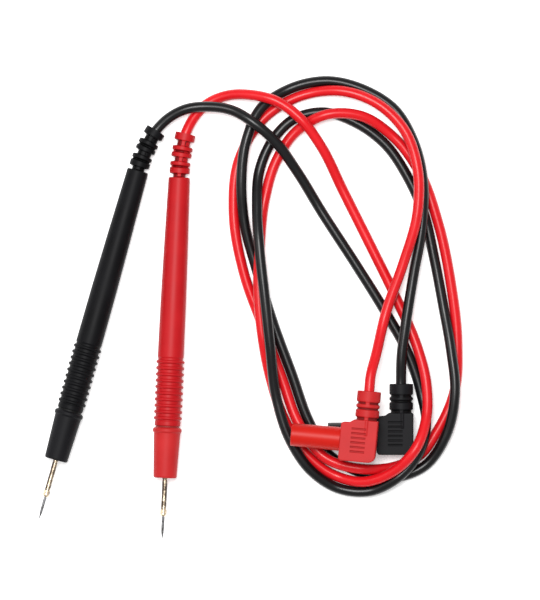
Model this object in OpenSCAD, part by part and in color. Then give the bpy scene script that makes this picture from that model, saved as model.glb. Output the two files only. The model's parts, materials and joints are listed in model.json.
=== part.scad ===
// A pair of needle test leads, black and red: a ribbed probe, a coiled cord and a
// right-angled shrouded 4 mm plug on each. They lie on a table, whose top is z = 0.
// The origin is on the table, midway between the two probes.

/* [Cord] */
// Outer diameter of the cord's jacket
cord_d = 4; // [3.6:0.1:4]
// Diameter of the insulated core under the jacket
core_d = 2.8; // [2.6:0.1:3]
// Diameter of one copper strand of the conductor
strand_d = 0.68; // [0.5:0.01:0.68]

/* [Probe] */
// Length from the nose's front face to the handle's rear face
probe_len = 115.5; // [110:0.5:125]
// Length of the slide-off nose cap
nose_len = 19.4; // [18:0.1:22]
// Radius of the nose cap at its front face
nose_front_r = 4.45; // [4:0.05:4.8]
// Radius of the ring at the rear of the nose cap, the widest place of the probe
ring_r = 5.55; // [5.3:0.05:6]
// Gap between the nose cap and the handle
seam = 0.6; // [0.5:0.1:1]
// Number of grip ribs
rib_count = 10; // [6:1:12]
// Distance from one rib to the next
rib_pitch = 2.4; // [2:0.1:2.6]
// Radius over the ribs
rib_r = 5.45; // [5.2:0.05:5.5]
// Radius between the ribs
rib_root_r = 4.75; // [4.5:0.05:5]
// Radius of the handle's rear end
handle_rear_r = 4.1; // [4:0.05:4.6]

/* [Metal tip] */
// Radius of the brass rod
rod_r = 1; // [0.9:0.05:1]
// Length of rod in front of the nose
rod_out = 12; // [10:0.5:14]
// Radius of the chuck nut
nut_r = 1.15; // [1.1:0.01:1.18]
// Length of the chuck nut
nut_len = 2.7; // [2.4:0.1:3.5]
// Radius of the steel needle
needle_r = 0.5; // [0.4:0.05:0.5]
// Length of needle in front of the chuck nut
needle_out = 8.6; // [7:0.1:12]

/* [Strain relief] */
// Length of the strain relief behind the handle
relief_len = 17; // [15:0.5:20]
// Radius over its rings
relief_r = 3.9; // [3.7:0.05:4]

/* [Plug] */
// Radius of the contact pin
pin_r = 2; // [2:0.01:2]
// Radius of the shroud's bore
shroud_bore_r = 3.3; // [3:0.05:3.5]
// Radius of the shroud at its mouth
shroud_mouth_r = 4.35; // [4.2:0.05:4.5]
// Distance from the boot's axis to the shroud's mouth
mouth_at = 28.2; // [26:0.1:32]
// Thickness of the elbow
elbow_t = 9.2; // [9.2:0.1:9.6]
// Distance from the shroud's axis to the cord entry
entry_at = 19.2; // [19:0.1:24]

/* [Hidden] */

// The two leads. Every list that holds one value for each lead has them in this order.
black = 0;
red = 1;
jacket_colour = ["#1c1c1e", "#d8141c"];
grip_colour = ["#242426", "#c8161f"];
elbow_colour = ["#202022", "#e2383e"];
brass = "#c9a24a";
steel = "#8d9094";
copper = "#b87333";
nylon = "#2a2826";

// Where the probes lie: the nose's front centre, and the heading from +Y towards +X
nose_at = [[-23.7, -49.1], [18.2, -56]];
heading = [15.8, 2.7];
// Radius of the bend that the cord puts in each strain relief
relief_bend_r = [57, 85];

// Where the plugs lie: the crossing of the shroud's and the boot's axes, the turn seen
// from above, and the dip of the red plug's shroud from the black plug that it lies on
plug_at = [[108.9, -39.1, 4.6], [94.7, -41.7, 14.8]];
plug_turn = [0, -5.3];
plug_dip = [0, 4];

// Stations along a probe's axis, counted from the nose's front face
handle_front = nose_len + seam;
ribs_front = handle_front + 1.9;
ribs_rear = ribs_front + rib_count * rib_pitch;
holder_rear = 60;
cup_front = 46;
cord_start = probe_len - 6;
wall_gap = 0.05;
// Radius of the needle's shank, which the nut and the rod hold
shank_r = 0.3;
spigot_r = 3;
cord_bore_r = cord_d / 2 + 0.3;

// A probe rests on its last rib and on its strain relief, so its axis drops to the rear
last_rib = ribs_rear - rib_pitch + 1.3;
tilt = asin((rib_r - relief_r - 0.05) / (probe_len + relief_len - last_rib));
nose_z = rib_r + last_rib * sin(tilt);

// The strain relief's rings, each as [start, end] behind the handle
relief_rings = [[1.5, 3.7], [4.5, 6.1], [7.8, 9.6], [10.4, 12], [14.2, relief_len]];
// Its gaps, as [start, end, turn of the bridges]: top and bottom, or the two sides
relief_gaps = [[0, 1.5, 90], [3.7, 4.5, 0], [6.1, 7.8, 90], [9.6, 10.4, 0], [12, 14.2, 90]];

// Stations along the plug's axes
block_left = 9.4;
block_right = 4.6;
block_top = 6.7;
block_bottom = 8;
block_corner = 2.2;
shroud_floor = 9;
cord_end = 13;

// The cords' routes as they lie, from inside the strain relief to inside the plug.
// A point's z is the height of the cord's middle: 2 on the table, more on a crossing.
red_route = [
    [23.4, 53.4, 4.3], [24.2, 66, 4.1], [26.2, 76.5, 3.9], [29, 82, 3], [34, 87.5, 2.1],
    [42.5, 91, 3.6], [51.5, 91, 6.3], [61, 88.5, 8.2], [70, 82, 8.4], [78, 71.5, 6.2],
    [86.5, 54.5, 2.6], [97, 33.5, 2], [107.5, 12, 2], [115, -5.5, 3.2], [118.5, -19.5, 5.2],
    [118.5, -32.5, 7.9], [114, -45, 11.9], [105.5, -53.5, 8.9], [94.5, -57.5, 5.3], [83, -55, 2],
    [72.5, -47, 2], [64, -33.5, 2], [58.5, -17, 3.3], [55.5, -1, 6.1], [54, 16, 6.2],
    [54.5, 31, 5.8], [56.5, 51, 2.3], [61, 66, 2], [68.5, 77, 2.9], [80.5, 83.5, 6.2],
    [93.5, 83, 5.3], [106.5, 74.5, 2], [116.5, 60.5, 2], [123, 42.5, 2], [128, 19, 2],
    [130.5, -4, 2], [129.5, -22.5, 2], [122, -39.5, 2], [116.5, -47, 2], [109, -51, 2.25],
    [93.5, -52.5, 6.3], [80, -48.5, 5.9], [70, -36, 3.6], [63, -17.5, 2], [56, 1.5, 2], [48.5, 22.5, 2],
    [44.5, 46, 2], [46.5, 66, 2], [56.5, 82.5, 2], [71, 91, 2], [86.5, 92.5, 4.7],
    [100, 87.5, 6.1], [110, 77.5, 7.8], [115, 62.5, 10], [115, 46, 9.8], [109.5, 26, 7.8],
    [103, 7.5, 6.9], [99, -9, 11], [97, -16.5, 14], [96.4, -22.5, 14.8], [95.9, -28.7, 14.8]];
black_route = [
    [6.1, 56.3, 4.3], [9.9, 68.2, 4.1], [14.7, 77.4, 3.9], [20, 82.5, 4.7], [26, 85.5, 5.8],
    [34.5, 86.5, 6.6], [44, 85, 8], [52.5, 80, 9.9], [61, 72.5, 8.2], [69, 61.5, 4.5],
    [78.5, 46, 2], [91.5, 26, 2], [103, 7.5, 2], [111, -7, 2], [116.5, -23, 2],
    [118.5, -35.5, 4], [115.5, -46.5, 6.7], [108, -55.5, 6.4], [97.5, -61, 3.5], [84.5, -60, 2.6],
    [74.5, -53.5, 4.6], [66.5, -42, 6.1], [61, -25.5, 6.6], [58.5, -5, 9.6], [56.5, 13.5, 10.3],
    [54.5, 31.5, 9.9], [53.5, 47.5, 6.4], [54.5, 62.5, 2.4], [59, 73, 2], [67, 81.5, 2],
    [79.5, 84.5, 2], [91.5, 80.5, 2], [103, 72, 2], [111.5, 59.5, 2], [117.5, 46, 2],
    [121.5, 29, 2], [125, 10.5, 2.6], [128, -7, 5.2], [129.5, -23.5, 6.1], [126, -40, 4.3],
    [118, -51.5, 2.1], [105.5, -56, 2], [92, -53.5, 2], [80.5, -46.5, 2], [73.5, -34.5, 2],
    [67, -16.5, 2], [60, 2.5, 2], [53.5, 23.5, 2], [48.5, 43, 3.5], [47.5, 58.5, 5.5],
    [49.5, 74, 6.1], [55, 86, 4.6], [66, 93.5, 2], [81, 96.5, 2], [95, 93, 2],
    [106.5, 85.5, 2], [113.5, 73.5, 4.2], [117, 59.5, 6.1], [117, 42.5, 6.1], [113.5, 21.5, 5.9],
    [110.5, 2.5, 6.3], [109, -9.5, 6], [108.8, -20, 4.6], [108.8, -26.05, 4.6]];
routes = [black_route, red_route];

// Distance between the cord's rings, and the number of its sides
ring_gap = 11;
cord_sides = 8;
span_steps = 6;

// ---- Frames of the two leads -------------------------------------------------------

// The children's +Z becomes the probe's axis, from its nose to its rear
module on_probe(lead)
    translate([nose_at[lead][0], nose_at[lead][1], nose_z])
        rotate([0, 0, -heading[lead]])
            rotate([-90 - tilt, 0, 0])
                children();

// The children's -X becomes the shroud's axis, and their +Y the boot's
module on_plug(lead)
    translate(plug_at[lead])
        rotate([0, 0, plug_turn[lead]])
            rotate([0, -plug_dip[lead], 0])
                children();

module along_shroud() rotate([0, -90, 0]) children();
module along_boot() rotate([-90, 0, 0]) children();

// A round solid from a list of [radius, station] corners
module turned(outline) rotate_extrude($fn = 64) polygon(outline);

// A plain tube between two stations
module tube(r_out, r_in, from, to)
    turned([[r_in, from], [r_out, from], [r_out, to], [r_in, to]]);

// ---- Probe -------------------------------------------------------------------------

// Four corners of each rib, front to rear
function rib_corners() = [
    for (i = [0 : rib_count - 1])
        let (s = ribs_front + i * rib_pitch)
            each [[rib_root_r, s + 0.25], [rib_r, s + 0.8], [rib_r, s + 1.3],
                  [rib_root_r, s + 1.85]]];

module handle(lead)
    color(grip_colour[lead]) on_probe(lead)
        turned(concat(
            [[spigot_r + wall_gap, handle_front], [4.7, handle_front], [4.95, handle_front + 0.3],
             [4.95, ribs_front - 0.3]],
            rib_corners(),
            [[rib_root_r, ribs_rear], [5, ribs_rear + 0.4], [5, ribs_rear + 4],
             [4.9, 68], [4.62, 88], [handle_rear_r, probe_len - 0.4],
             [handle_rear_r - 0.4, probe_len], [spigot_r + wall_gap, probe_len]]));

// A round bar bent towards the child's +X, between two lengths along the strain relief
module bent_bar(lead, r, from, to)
    translate([relief_bend_r[lead], 0, probe_len])
        rotate([90, 0, 0])
            rotate([0, 0, 180 - to / relief_bend_r[lead] * 180 / PI])
                rotate_extrude(angle = (to - from) / relief_bend_r[lead] * 180 / PI, $fn = 64)
                    translate([relief_bend_r[lead], 0])
                        circle(r);

// One gap of the strain relief: two bridges on opposite sides, with windows between them
module relief_bridges(lead, gap)
    intersection() {
        bent_bar(lead, relief_r - 0.3, gap[0] - 0.2, gap[1] + 0.2);
        rotate([0, 0, gap[2]])
            translate([-3 * relief_r, -1.6, probe_len + wall_gap])
                cube([6 * relief_r, 3.2, relief_len + 1]);
    }

module strain_relief(lead)
    color(jacket_colour[lead]) on_probe(lead)
        difference() {
            union() {
                translate([0, 0, cord_start]) cylinder(h = probe_len - cord_start, r = spigot_r, $fn = 64);
                bent_bar(lead, cord_bore_r + 0.4, -0.3, relief_len - 1);
                for (ring = relief_rings) bent_bar(lead, relief_r, ring[0], ring[1]);
                for (gap = relief_gaps) relief_bridges(lead, gap);
            }
            bent_bar(lead, cord_bore_r, -0.5, relief_len + 0.1);
            translate([0, 0, cord_start - 1])
                cylinder(h = probe_len - cord_start + 1, r = cord_bore_r + 0.1, $fn = 64);
        }

// The cap pushes over the holder's front spigot, and its front hole clears the chuck nut
module nose_cap(lead)
    color(elbow_colour[lead]) on_probe(lead)
        turned([[nut_r + 0.1, 0], [nose_front_r - 0.3, 0], [nose_front_r, 0.3],
                [5.15, nose_len - 2], [ring_r, nose_len - 1.7], [ring_r, nose_len - 0.6],
                [5.1, nose_len - 0.3], [4.9, nose_len], [spigot_r + wall_gap, nose_len],
                [spigot_r + wall_gap, 3.2], [nut_r + 0.1, 3.2]]);

module tip_holder(lead)
    color(nylon) on_probe(lead)
        turned([[rod_r + 0.02, 3.4], [spigot_r - 0.3, 3.4], [spigot_r, 3.7],
                [spigot_r, nose_len + wall_gap], [4.6, nose_len + wall_gap],
                [4.6, handle_front - wall_gap], [spigot_r, handle_front - wall_gap],
                [spigot_r, holder_rear], [1.75, holder_rear], [1.75, cup_front - 0.1],
                [rod_r + 0.02, cup_front - 0.1]]);

// Drilled for the needle at the front, where a slim nose enters the nut, and for the
// conductor at the rear
module probe_rod(lead)
    color(brass) on_probe(lead)
        turned([[0, -5.8], [shank_r + 0.03, -5.8], [shank_r + 0.03, -rod_out - 2],
                [0.8, -rod_out - 2], [0.8, -rod_out], [rod_r, -rod_out], [rod_r, cup_front],
                [1.7, cup_front], [1.7, cup_front + 12], [1.15, cup_front + 12],
                [1.15, cup_front + 4], [0, cup_front + 4]]);

module chuck_nut(lead)
    color(brass) on_probe(lead)
        turned([[shank_r + 0.05, -rod_out - nut_len], [0.75, -rod_out - nut_len],
                [nut_r, -rod_out - nut_len + 0.7], [nut_r, -rod_out - 0.05],
                [0.85, -rod_out - 0.05], [0.85, -rod_out - 2.1],
                [shank_r + 0.05, -rod_out - 2.1]]);

// Its shank, in the nut and the rod, is slimmer than what shows
module needle(lead)
    color(steel) on_probe(lead)
        turned([[0, -rod_out - nut_len - needle_out],
                [0.12, -rod_out - nut_len - needle_out + 0.1],
                [needle_r, -rod_out - nut_len - needle_out + 3.6],
                [needle_r, -rod_out - nut_len - 0.2], [shank_r, -rod_out - nut_len - 0.2],
                [shank_r, -6.2], [0, -6.2]]);

// ---- Conductor, in the probe and in the plug ---------------------------------------

// Seven copper strands, one with six round it
module strands(from, to)
    for (i = [0 : 6])
        rotate([0, 0, i * 60])
            translate([i == 6 ? 0 : strand_d + 0.02, 0, from])
                cylinder(h = to - from, d = strand_d, $fn = 24);

module probe_core(lead)
    color("white") on_probe(lead)
        tube(core_d / 2, 1.08, cup_front + 14, cord_start - 0.2);

module probe_strands(lead)
    color(copper) on_probe(lead)
        strands(cup_front + 4.3, cord_start - 0.2);

module plug_core(lead)
    color("white") on_plug(lead) along_boot()
        tube(core_d / 2, 1.08, 3.6, cord_end - 0.1);

module plug_strands(lead)
    color(copper) on_plug(lead) along_boot()
        strands(1.65, cord_end - 0.1);

// ---- Cord --------------------------------------------------------------------------

function flat(p) = [p[0], p[1]];
function span(p, i) = norm(flat(p[i + 1]) - flat(p[i]));
function slope(p, i) = (p[i + 1] - p[i]) / span(p, i);
// A height's slope at a point is nought where the route turns level, so that no hump
// overshoots
function level(a, b) = a * b <= 0 ? 0 : 2 * a * b / (a + b);
function tangent(p, i) =
    i == 0 ? slope(p, 0) :
    i == len(p) - 1 ? slope(p, i - 1) :
    let (a = slope(p, i - 1), b = slope(p, i), g = span(p, i - 1), h = span(p, i))
        [(a[0] * h + b[0] * g) / (g + h), (a[1] * h + b[1] * g) / (g + h), level(a[2], b[2])];

// A smooth curve through the route's points, as a fine line
function curve(p) = concat(
    [for (i = [0 : len(p) - 2])
        let (a = tangent(p, i) * span(p, i), b = tangent(p, i + 1) * span(p, i))
            for (k = [0 : span_steps - 1])
                let (t = k / span_steps)
                    p[i] * (2 * t * t * t - 3 * t * t + 1) + a * (t * t * t - 2 * t * t + t)
                    + p[i + 1] * (3 * t * t - 2 * t * t * t) + b * (t * t * t - t * t)],
    [p[len(p) - 1]]);

function lengths(c) =
    [for (i = 0, s = 0; i < len(c); s = s + (i < len(c) - 1 ? norm(c[i + 1] - c[i]) : 0), i = i + 1) s];

// The place at length t along the line c, whose lengths are s
function place(c, s, t) =
    let (i = min(len([for (v = s) if (v <= t) v]), len(c) - 1) - 1)
        c[i] + (c[i + 1] - c[i]) * (t - s[i]) / (s[i + 1] - s[i]);

function unit(v) = v / norm(v);

// Evenly spaced rings along a route
function ring_places(p) =
    let (c = curve(p), s = lengths(c), total = s[len(s) - 1], n = round(total / ring_gap))
        [for (j = [0 : n]) place(c, s, total * j / n)];

module swept(route) {
    q = ring_places(route);
    n = len(q) - 1;
    points = [
        for (j = [0 : n])
            let (d = unit(q[min(j + 1, n)] - q[max(j - 1, 0)]),
                 side = unit(cross(d, [0, 0, 1])),
                 up = cross(side, d))
                for (k = [0 : cord_sides - 1])
                    let (a = (k + 0.5) * 360 / cord_sides)
                        q[j] + (side * cos(a) + up * sin(a)) * cord_d / 2];
    walls = [
        for (j = [0 : n - 1])
            for (k = [0 : cord_sides - 1])
                let (m = (k + 1) % cord_sides, a = j * cord_sides)
                    each [[a + k, a + m, a + cord_sides + m],
                          [a + k, a + cord_sides + m, a + cord_sides + k]]];
    first = [for (k = [cord_sides - 1 : -1 : 0]) k];
    last = [for (k = [0 : cord_sides - 1]) n * cord_sides + k];
    polyhedron(points, concat([first, last], walls), convexity = 20);
}

module cord(lead) color(jacket_colour[lead]) swept(routes[lead]);

// ---- Plug --------------------------------------------------------------------------

// The elbow's outline seen from above, without the boot's rings
module elbow_outline() {
    corner = block_corner;
    hull_w = block_left + block_right;
    hull_h = block_top + block_bottom;
    translate([-block_left, -block_bottom]) {
        translate([corner, 0]) square([hull_w - 2 * corner, hull_h]);
        translate([0, corner]) square([hull_w, hull_h - 2 * corner]);
        for (x = [corner, hull_w - corner], y = [corner, hull_h - corner])
            translate([x, y]) circle(corner, $fn = 48);
        translate([hull_w - 2 * block_right, hull_h - corner]) square([2 * block_right, corner + 1.3]);
    }
}

module elbow(lead)
    color(elbow_colour[lead]) on_plug(lead)
        difference() {
            union() {
                translate([0, 0, -elbow_t / 2]) linear_extrude(elbow_t) elbow_outline();
                along_boot() {
                    translate([0, 0, block_top]) cylinder(h = entry_at - block_top, r = 3.8, $fn = 64);
                    for (ring = [[entry_at - 4.2, entry_at], [entry_at - 6.4, entry_at - 5.1],
                                 [entry_at - 10, entry_at - 7.2]])
                        translate([0, 0, ring[0]]) cylinder(h = ring[1] - ring[0], r = 4.55, $fn = 64);
                }
            }
            along_boot() {
                translate([0, 0, cord_end]) cylinder(h = entry_at, r = cord_d / 2 + 0.15, $fn = 64);
                translate([0, 0, -1.7]) cylinder(h = cord_end + 2, r = 1.5, $fn = 64);
            }
            along_shroud() {
                translate([0, 0, 2.9]) cylinder(h = block_left, r = 3.65, $fn = 64);
                translate([0, 0, -1.8]) cylinder(h = 5, r = 1.62, $fn = 64);
            }
        }

// Its root is held in the elbow, and its floor carries the pin
module shroud(lead)
    color(jacket_colour[lead]) on_plug(lead) along_shroud()
        turned([[1.62, 3], [3.6, 3], [3.6, block_left], [4.6, block_left + 0.05],
                [shroud_mouth_r, mouth_at - 0.3], [shroud_mouth_r - 0.3, mouth_at],
                [shroud_bore_r, mouth_at], [shroud_bore_r, shroud_floor], [1.62, shroud_floor]]);

module contact_pin(lead)
    color(brass) on_plug(lead) along_shroud()
        turned([[0, -1.5], [1.2, -1.5], [1.5, -1.2], [1.6, 3.2], [1.6, shroud_floor + 0.05],
                [pin_r, shroud_floor + 0.05], [pin_r, shroud_floor + 4], [1.35, shroud_floor + 4],
                [1.35, mouth_at - 5.1], [pin_r - 0.2, mouth_at - 5.1],
                [pin_r - 0.2, mouth_at - 2.7], [1.5, mouth_at - 2.1], [0.9, mouth_at - 1.8],
                [0, mouth_at - 1.7]]);

// A slit tube round the pin's waist, bulging between its two closed ends
module spring_cage(lead)
    color(brass) on_plug(lead) along_shroud()
        difference() {
            turned([[1.38, 13.1], [1.65, 13.1], [1.95, 15.5], [1.95, 20.6], [1.65, 23], [1.38, 23],
                    [1.7, 20.6], [1.7, 15.5]]);
            for (i = [0 : 5])
                rotate([0, 0, i * 60])
                    translate([0, -0.25, 14.3]) cube([3, 0.5, 7.5]);
        }

// ---- Nodes -------------------------------------------------------------------------

handle(black);  // black_handle
strain_relief(black);  // black_strain_relief
nose_cap(black);  // black_nose_cap
tip_holder(black);  // black_tip_holder
probe_rod(black);  // black_probe_rod
chuck_nut(black);  // black_chuck_nut
needle(black);  // black_needle
probe_core(black);  // black_probe_core
probe_strands(black);  // black_probe_strands
cord(black);  // black_cord
elbow(black);  // black_elbow
shroud(black);  // black_shroud
contact_pin(black);  // black_contact_pin
spring_cage(black);  // black_spring_cage
plug_core(black);  // black_plug_core
plug_strands(black);  // black_plug_strands
handle(red);  // red_handle
strain_relief(red);  // red_strain_relief
nose_cap(red);  // red_nose_cap
tip_holder(red);  // red_tip_holder
probe_rod(red);  // red_probe_rod
chuck_nut(red);  // red_chuck_nut
needle(red);  // red_needle
probe_core(red);  // red_probe_core
probe_strands(red);  // red_probe_strands
cord(red);  // red_cord
elbow(red);  // red_elbow
shroud(red);  // red_shroud
contact_pin(red);  // red_contact_pin
spring_cage(red);  // red_spring_cage
plug_core(red);  // red_plug_core
plug_strands(red);  // red_plug_strands
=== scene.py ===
import json
import math

import bmesh
import bpy
import numpy as np
from mathutils import Matrix, Vector


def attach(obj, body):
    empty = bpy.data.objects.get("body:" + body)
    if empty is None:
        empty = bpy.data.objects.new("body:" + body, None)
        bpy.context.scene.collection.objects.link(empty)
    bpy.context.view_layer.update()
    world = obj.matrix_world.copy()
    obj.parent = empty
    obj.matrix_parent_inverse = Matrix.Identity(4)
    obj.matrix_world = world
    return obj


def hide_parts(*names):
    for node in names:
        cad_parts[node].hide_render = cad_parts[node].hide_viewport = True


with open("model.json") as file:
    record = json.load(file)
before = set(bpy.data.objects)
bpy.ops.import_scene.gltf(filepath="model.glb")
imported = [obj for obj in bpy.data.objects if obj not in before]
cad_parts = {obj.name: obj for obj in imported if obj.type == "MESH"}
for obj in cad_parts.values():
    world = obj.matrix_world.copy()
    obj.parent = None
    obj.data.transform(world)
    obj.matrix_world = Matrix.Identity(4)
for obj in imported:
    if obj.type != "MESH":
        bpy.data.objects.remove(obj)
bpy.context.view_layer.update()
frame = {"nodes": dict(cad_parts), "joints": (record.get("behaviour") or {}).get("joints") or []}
nodes = frame["nodes"]
scene = bpy.context.scene
MM = 0.001


# ---- Camera ------------------------------------------------------------------------
# The leads are seen from straight above, from far off through a long lens, so that
# what lies high on the crossings isn't drawn larger than what lies on the table.
view_height = 0.231
view_centre = Vector((0.0585, 0.0123, 0.0))
camera_height = 2.0

camera = bpy.data.objects.new("camera", bpy.data.cameras.new("camera"))
scene.collection.objects.link(camera)
camera.data.sensor_width = 36
camera.data.lens = 36 * camera_height / view_height
camera.location = view_centre + Vector((0, 0, camera_height))
camera.data.clip_end = 20
scene.camera = camera


# ---- Table and light ---------------------------------------------------------------
# A plain white light table under a large soft box above the leads, a second one from
# the left, and a pale room. The shadows stay short and faint.
table_size = 6.0
table = bpy.data.objects.new("table", bpy.data.meshes.new("table"))
table.data.from_pydata(
    [(x * table_size, y * table_size, 0) for x, y in ((-1, -1), (1, -1), (1, 1), (-1, 1))],
    [],
    [(0, 1, 2, 3)],
)
scene.collection.objects.link(table)
table_white = bpy.data.materials.new("table_white")
table_white.use_nodes = True
table_shader = table_white.node_tree.nodes["Principled BSDF"]
table_shader.inputs["Base Color"].default_value = (0.95, 0.95, 0.95, 1)
table_shader.inputs["Roughness"].default_value = 0.9
table_shader.inputs["Specular IOR Level"].default_value = 0.1
table_shader.inputs["Emission Color"].default_value = (1, 1, 1, 1)
table_shader.inputs["Emission Strength"].default_value = 0.3
table.data.materials.append(table_white)

room = bpy.data.worlds.new("room")
room.use_nodes = True
room.node_tree.nodes["Background"].inputs["Color"].default_value = (1, 1, 1, 1)
room.node_tree.nodes["Background"].inputs["Strength"].default_value = 0.5
scene.world = room
scene.view_settings.view_transform = "Standard"


def soft_box(name, place, size, power):
    """A square area light that faces the middle of the leads."""
    lamp = bpy.data.objects.new(name, bpy.data.lights.new(name, "AREA"))
    lamp.data.size = size
    lamp.data.energy = power
    lamp.location = place
    lamp.rotation_euler = (view_centre - Vector(place)).to_track_quat("-Z", "Y").to_euler()
    scene.collection.objects.link(lamp)


soft_box("top_box", (-0.05, 0.22, 1.1), 0.45, 13.5)
soft_box("left_box", (-1.0, 0.2, 0.9), 0.7, 2.5)


# ---- Cords -------------------------------------------------------------------------
# Soft PVC jackets, 4 mm thick and 0.93 m long with the ends that the handle and the
# plug hold. They are extruded, so they shine along their length and are a little uneven.
cord_radius = 2.0 * MM
cord_sides = 28
steps_per_span = 8

cord_routes = {
    "black": [
        (6.1, 56.3, 4.3), (9.9, 68.2, 4.1), (14.7, 77.4, 3.9), (20, 82.5, 4.7),
        (26, 85.5, 5.8), (34.5, 86.5, 6.6), (44, 85, 8), (52.5, 80, 9.9), (61, 72.5, 8.2),
        (69, 61.5, 4.5), (78.5, 46, 2), (91.5, 26, 2), (103, 7.5, 2), (111, -7, 2),
        (116.5, -23, 2), (118.5, -35.5, 4), (115.5, -46.5, 6.7), (108, -55.5, 6.4),
        (97.5, -61, 3.5), (84.5, -60, 2.6), (74.5, -53.5, 4.6), (66.5, -42, 6.1),
        (61, -25.5, 6.6), (58.5, -5, 9.6), (56.5, 13.5, 10.3), (54.5, 31.5, 9.9),
        (53.5, 47.5, 6.4), (54.5, 62.5, 2.4), (59, 73, 2), (67, 81.5, 2), (79.5, 84.5, 2),
        (91.5, 80.5, 2), (103, 72, 2), (111.5, 59.5, 2), (117.5, 46, 2), (121.5, 29, 2),
        (125, 10.5, 2.6), (128, -7, 5.2), (129.5, -23.5, 6.1), (126, -40, 4.3),
        (118, -51.5, 2.1), (105.5, -56, 2), (92, -53.5, 2), (80.5, -46.5, 2),
        (73.5, -34.5, 2), (67, -16.5, 2), (60, 2.5, 2), (53.5, 23.5, 2), (48.5, 43, 3.5),
        (47.5, 58.5, 5.5), (49.5, 74, 6.1), (55, 86, 4.6), (66, 93.5, 2), (81, 96.5, 2),
        (95, 93, 2), (106.5, 85.5, 2), (113.5, 73.5, 4.2), (117, 59.5, 6.1),
        (117, 42.5, 6.1), (113.5, 21.5, 5.9), (110.5, 2.5, 6.3), (109, -9.5, 6),
        (108.8, -20, 4.6), (108.8, -26.05, 4.6),
    ],
    "red": [
        (23.4, 53.4, 4.3), (24.2, 66, 4.1), (26.2, 76.5, 3.9), (29, 82, 3), (34, 87.5, 2.1),
        (42.5, 91, 3.6), (51.5, 91, 6.3), (61, 88.5, 8.2), (70, 82, 8.4), (78, 71.5, 6.2),
        (86.5, 54.5, 2.6), (97, 33.5, 2), (107.5, 12, 2), (115, -5.5, 3.2),
        (118.5, -19.5, 5.2), (118.5, -32.5, 7.9), (114, -45, 11.9), (105.5, -53.5, 8.9),
        (94.5, -57.5, 5.3), (83, -55, 2), (72.5, -47, 2), (64, -33.5, 2), (58.5, -17, 3.3),
        (55.5, -1, 6.1), (54, 16, 6.2), (54.5, 31, 5.8), (56.5, 51, 2.3), (61, 66, 2),
        (68.5, 77, 2.9), (80.5, 83.5, 6.2), (93.5, 83, 5.3), (106.5, 74.5, 2),
        (116.5, 60.5, 2), (123, 42.5, 2), (128, 19, 2), (130.5, -4, 2), (129.5, -22.5, 2),
        (122, -39.5, 2), (116.5, -47, 2), (109, -51, 2.25), (93.5, -52.5, 6.3),
        (80, -48.5, 5.9), (70, -36, 3.6), (63, -17.5, 2), (56, 1.5, 2), (48.5, 22.5, 2),
        (44.5, 46, 2), (46.5, 66, 2), (56.5, 82.5, 2), (71, 91, 2), (86.5, 92.5, 4.7),
        (100, 87.5, 6.1), (110, 77.5, 7.8), (115, 62.5, 10), (115, 46, 9.8),
        (109.5, 26, 7.8), (103, 7.5, 6.9), (99, -9, 11), (97, -16.5, 14),
        (96.4, -22.5, 14.8), (95.9, -28.7, 14.8),
    ],
}


def smooth_route(points):
    """A dense line through a route's points, which never humps above or below them."""
    p = np.array(points, float) * MM
    span = np.linalg.norm(np.diff(p[:, :2], axis=0), axis=1)
    slope = np.diff(p, axis=0) / span[:, None]
    tangent = np.vstack([slope[:1], slope])
    before, after = span[:-1, None], span[1:, None]
    tangent[1:-1] = (slope[:-1] * after + slope[1:] * before) / (before + after)
    rise, fall = slope[:-1, 2], slope[1:, 2]
    level = rise * fall <= 0
    tangent[1:-1, 2] = np.where(level, 0, 2 * rise * fall / np.where(level, 1, rise + fall))
    line = []
    for i, length in enumerate(span):
        for t in np.arange(steps_per_span) / steps_per_span:
            line.append(
                p[i] * (2 * t**3 - 3 * t**2 + 1)
                + tangent[i] * length * (t**3 - 2 * t**2 + t)
                + p[i + 1] * (3 * t**2 - 2 * t**3)
                + tangent[i + 1] * length * (t**3 - t**2)
            )
    return np.array([*line, p[-1]])


def jacket(name, line, radius, sides):
    """A closed round tube along a line, with a UV map: once round it, and metres along it."""
    along = np.gradient(line, axis=0)
    along /= np.linalg.norm(along, axis=1)[:, None]
    side = np.cross(along, (0, 0, 1))
    side /= np.linalg.norm(side, axis=1)[:, None]
    up = np.cross(side, along)
    turn = np.arange(sides) * 2 * math.pi / sides
    ring = (
        side[:, None] * np.cos(turn)[None, :, None] + up[:, None] * np.sin(turn)[None, :, None]
    )
    points = (line[:, None] + ring * radius).reshape(-1, 3)
    faces, coordinates = [], []
    length = np.append(0, np.cumsum(np.linalg.norm(np.diff(line, axis=0), axis=1)))
    for i in range(len(line) - 1):
        for j in range(sides):
            k = (j + 1) % sides
            a, b = i * sides, (i + 1) * sides
            faces.append((a + j, b + j, b + k, a + k))
            coordinates += [
                (j / sides, length[i]),
                (j / sides, length[i + 1]),
                ((j + 1) / sides, length[i + 1]),
                ((j + 1) / sides, length[i]),
            ]
    last = (len(line) - 1) * sides
    faces += [tuple(range(sides)), tuple(range(last + sides - 1, last - 1, -1))]
    coordinates += [(0, 0)] * (2 * sides)
    mesh = bpy.data.meshes.new(name)
    mesh.from_pydata(points.tolist(), [], faces)
    uv = mesh.uv_layers.new(name="along")
    uv.data.foreach_set("uv", np.array(coordinates, float).ravel())
    mesh.shade_smooth()
    mesh.polygons[len(mesh.polygons) - 1].use_smooth = False
    mesh.polygons[len(mesh.polygons) - 2].use_smooth = False
    piece = bpy.data.objects.new(name, mesh)
    scene.collection.objects.link(piece)
    return piece


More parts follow.
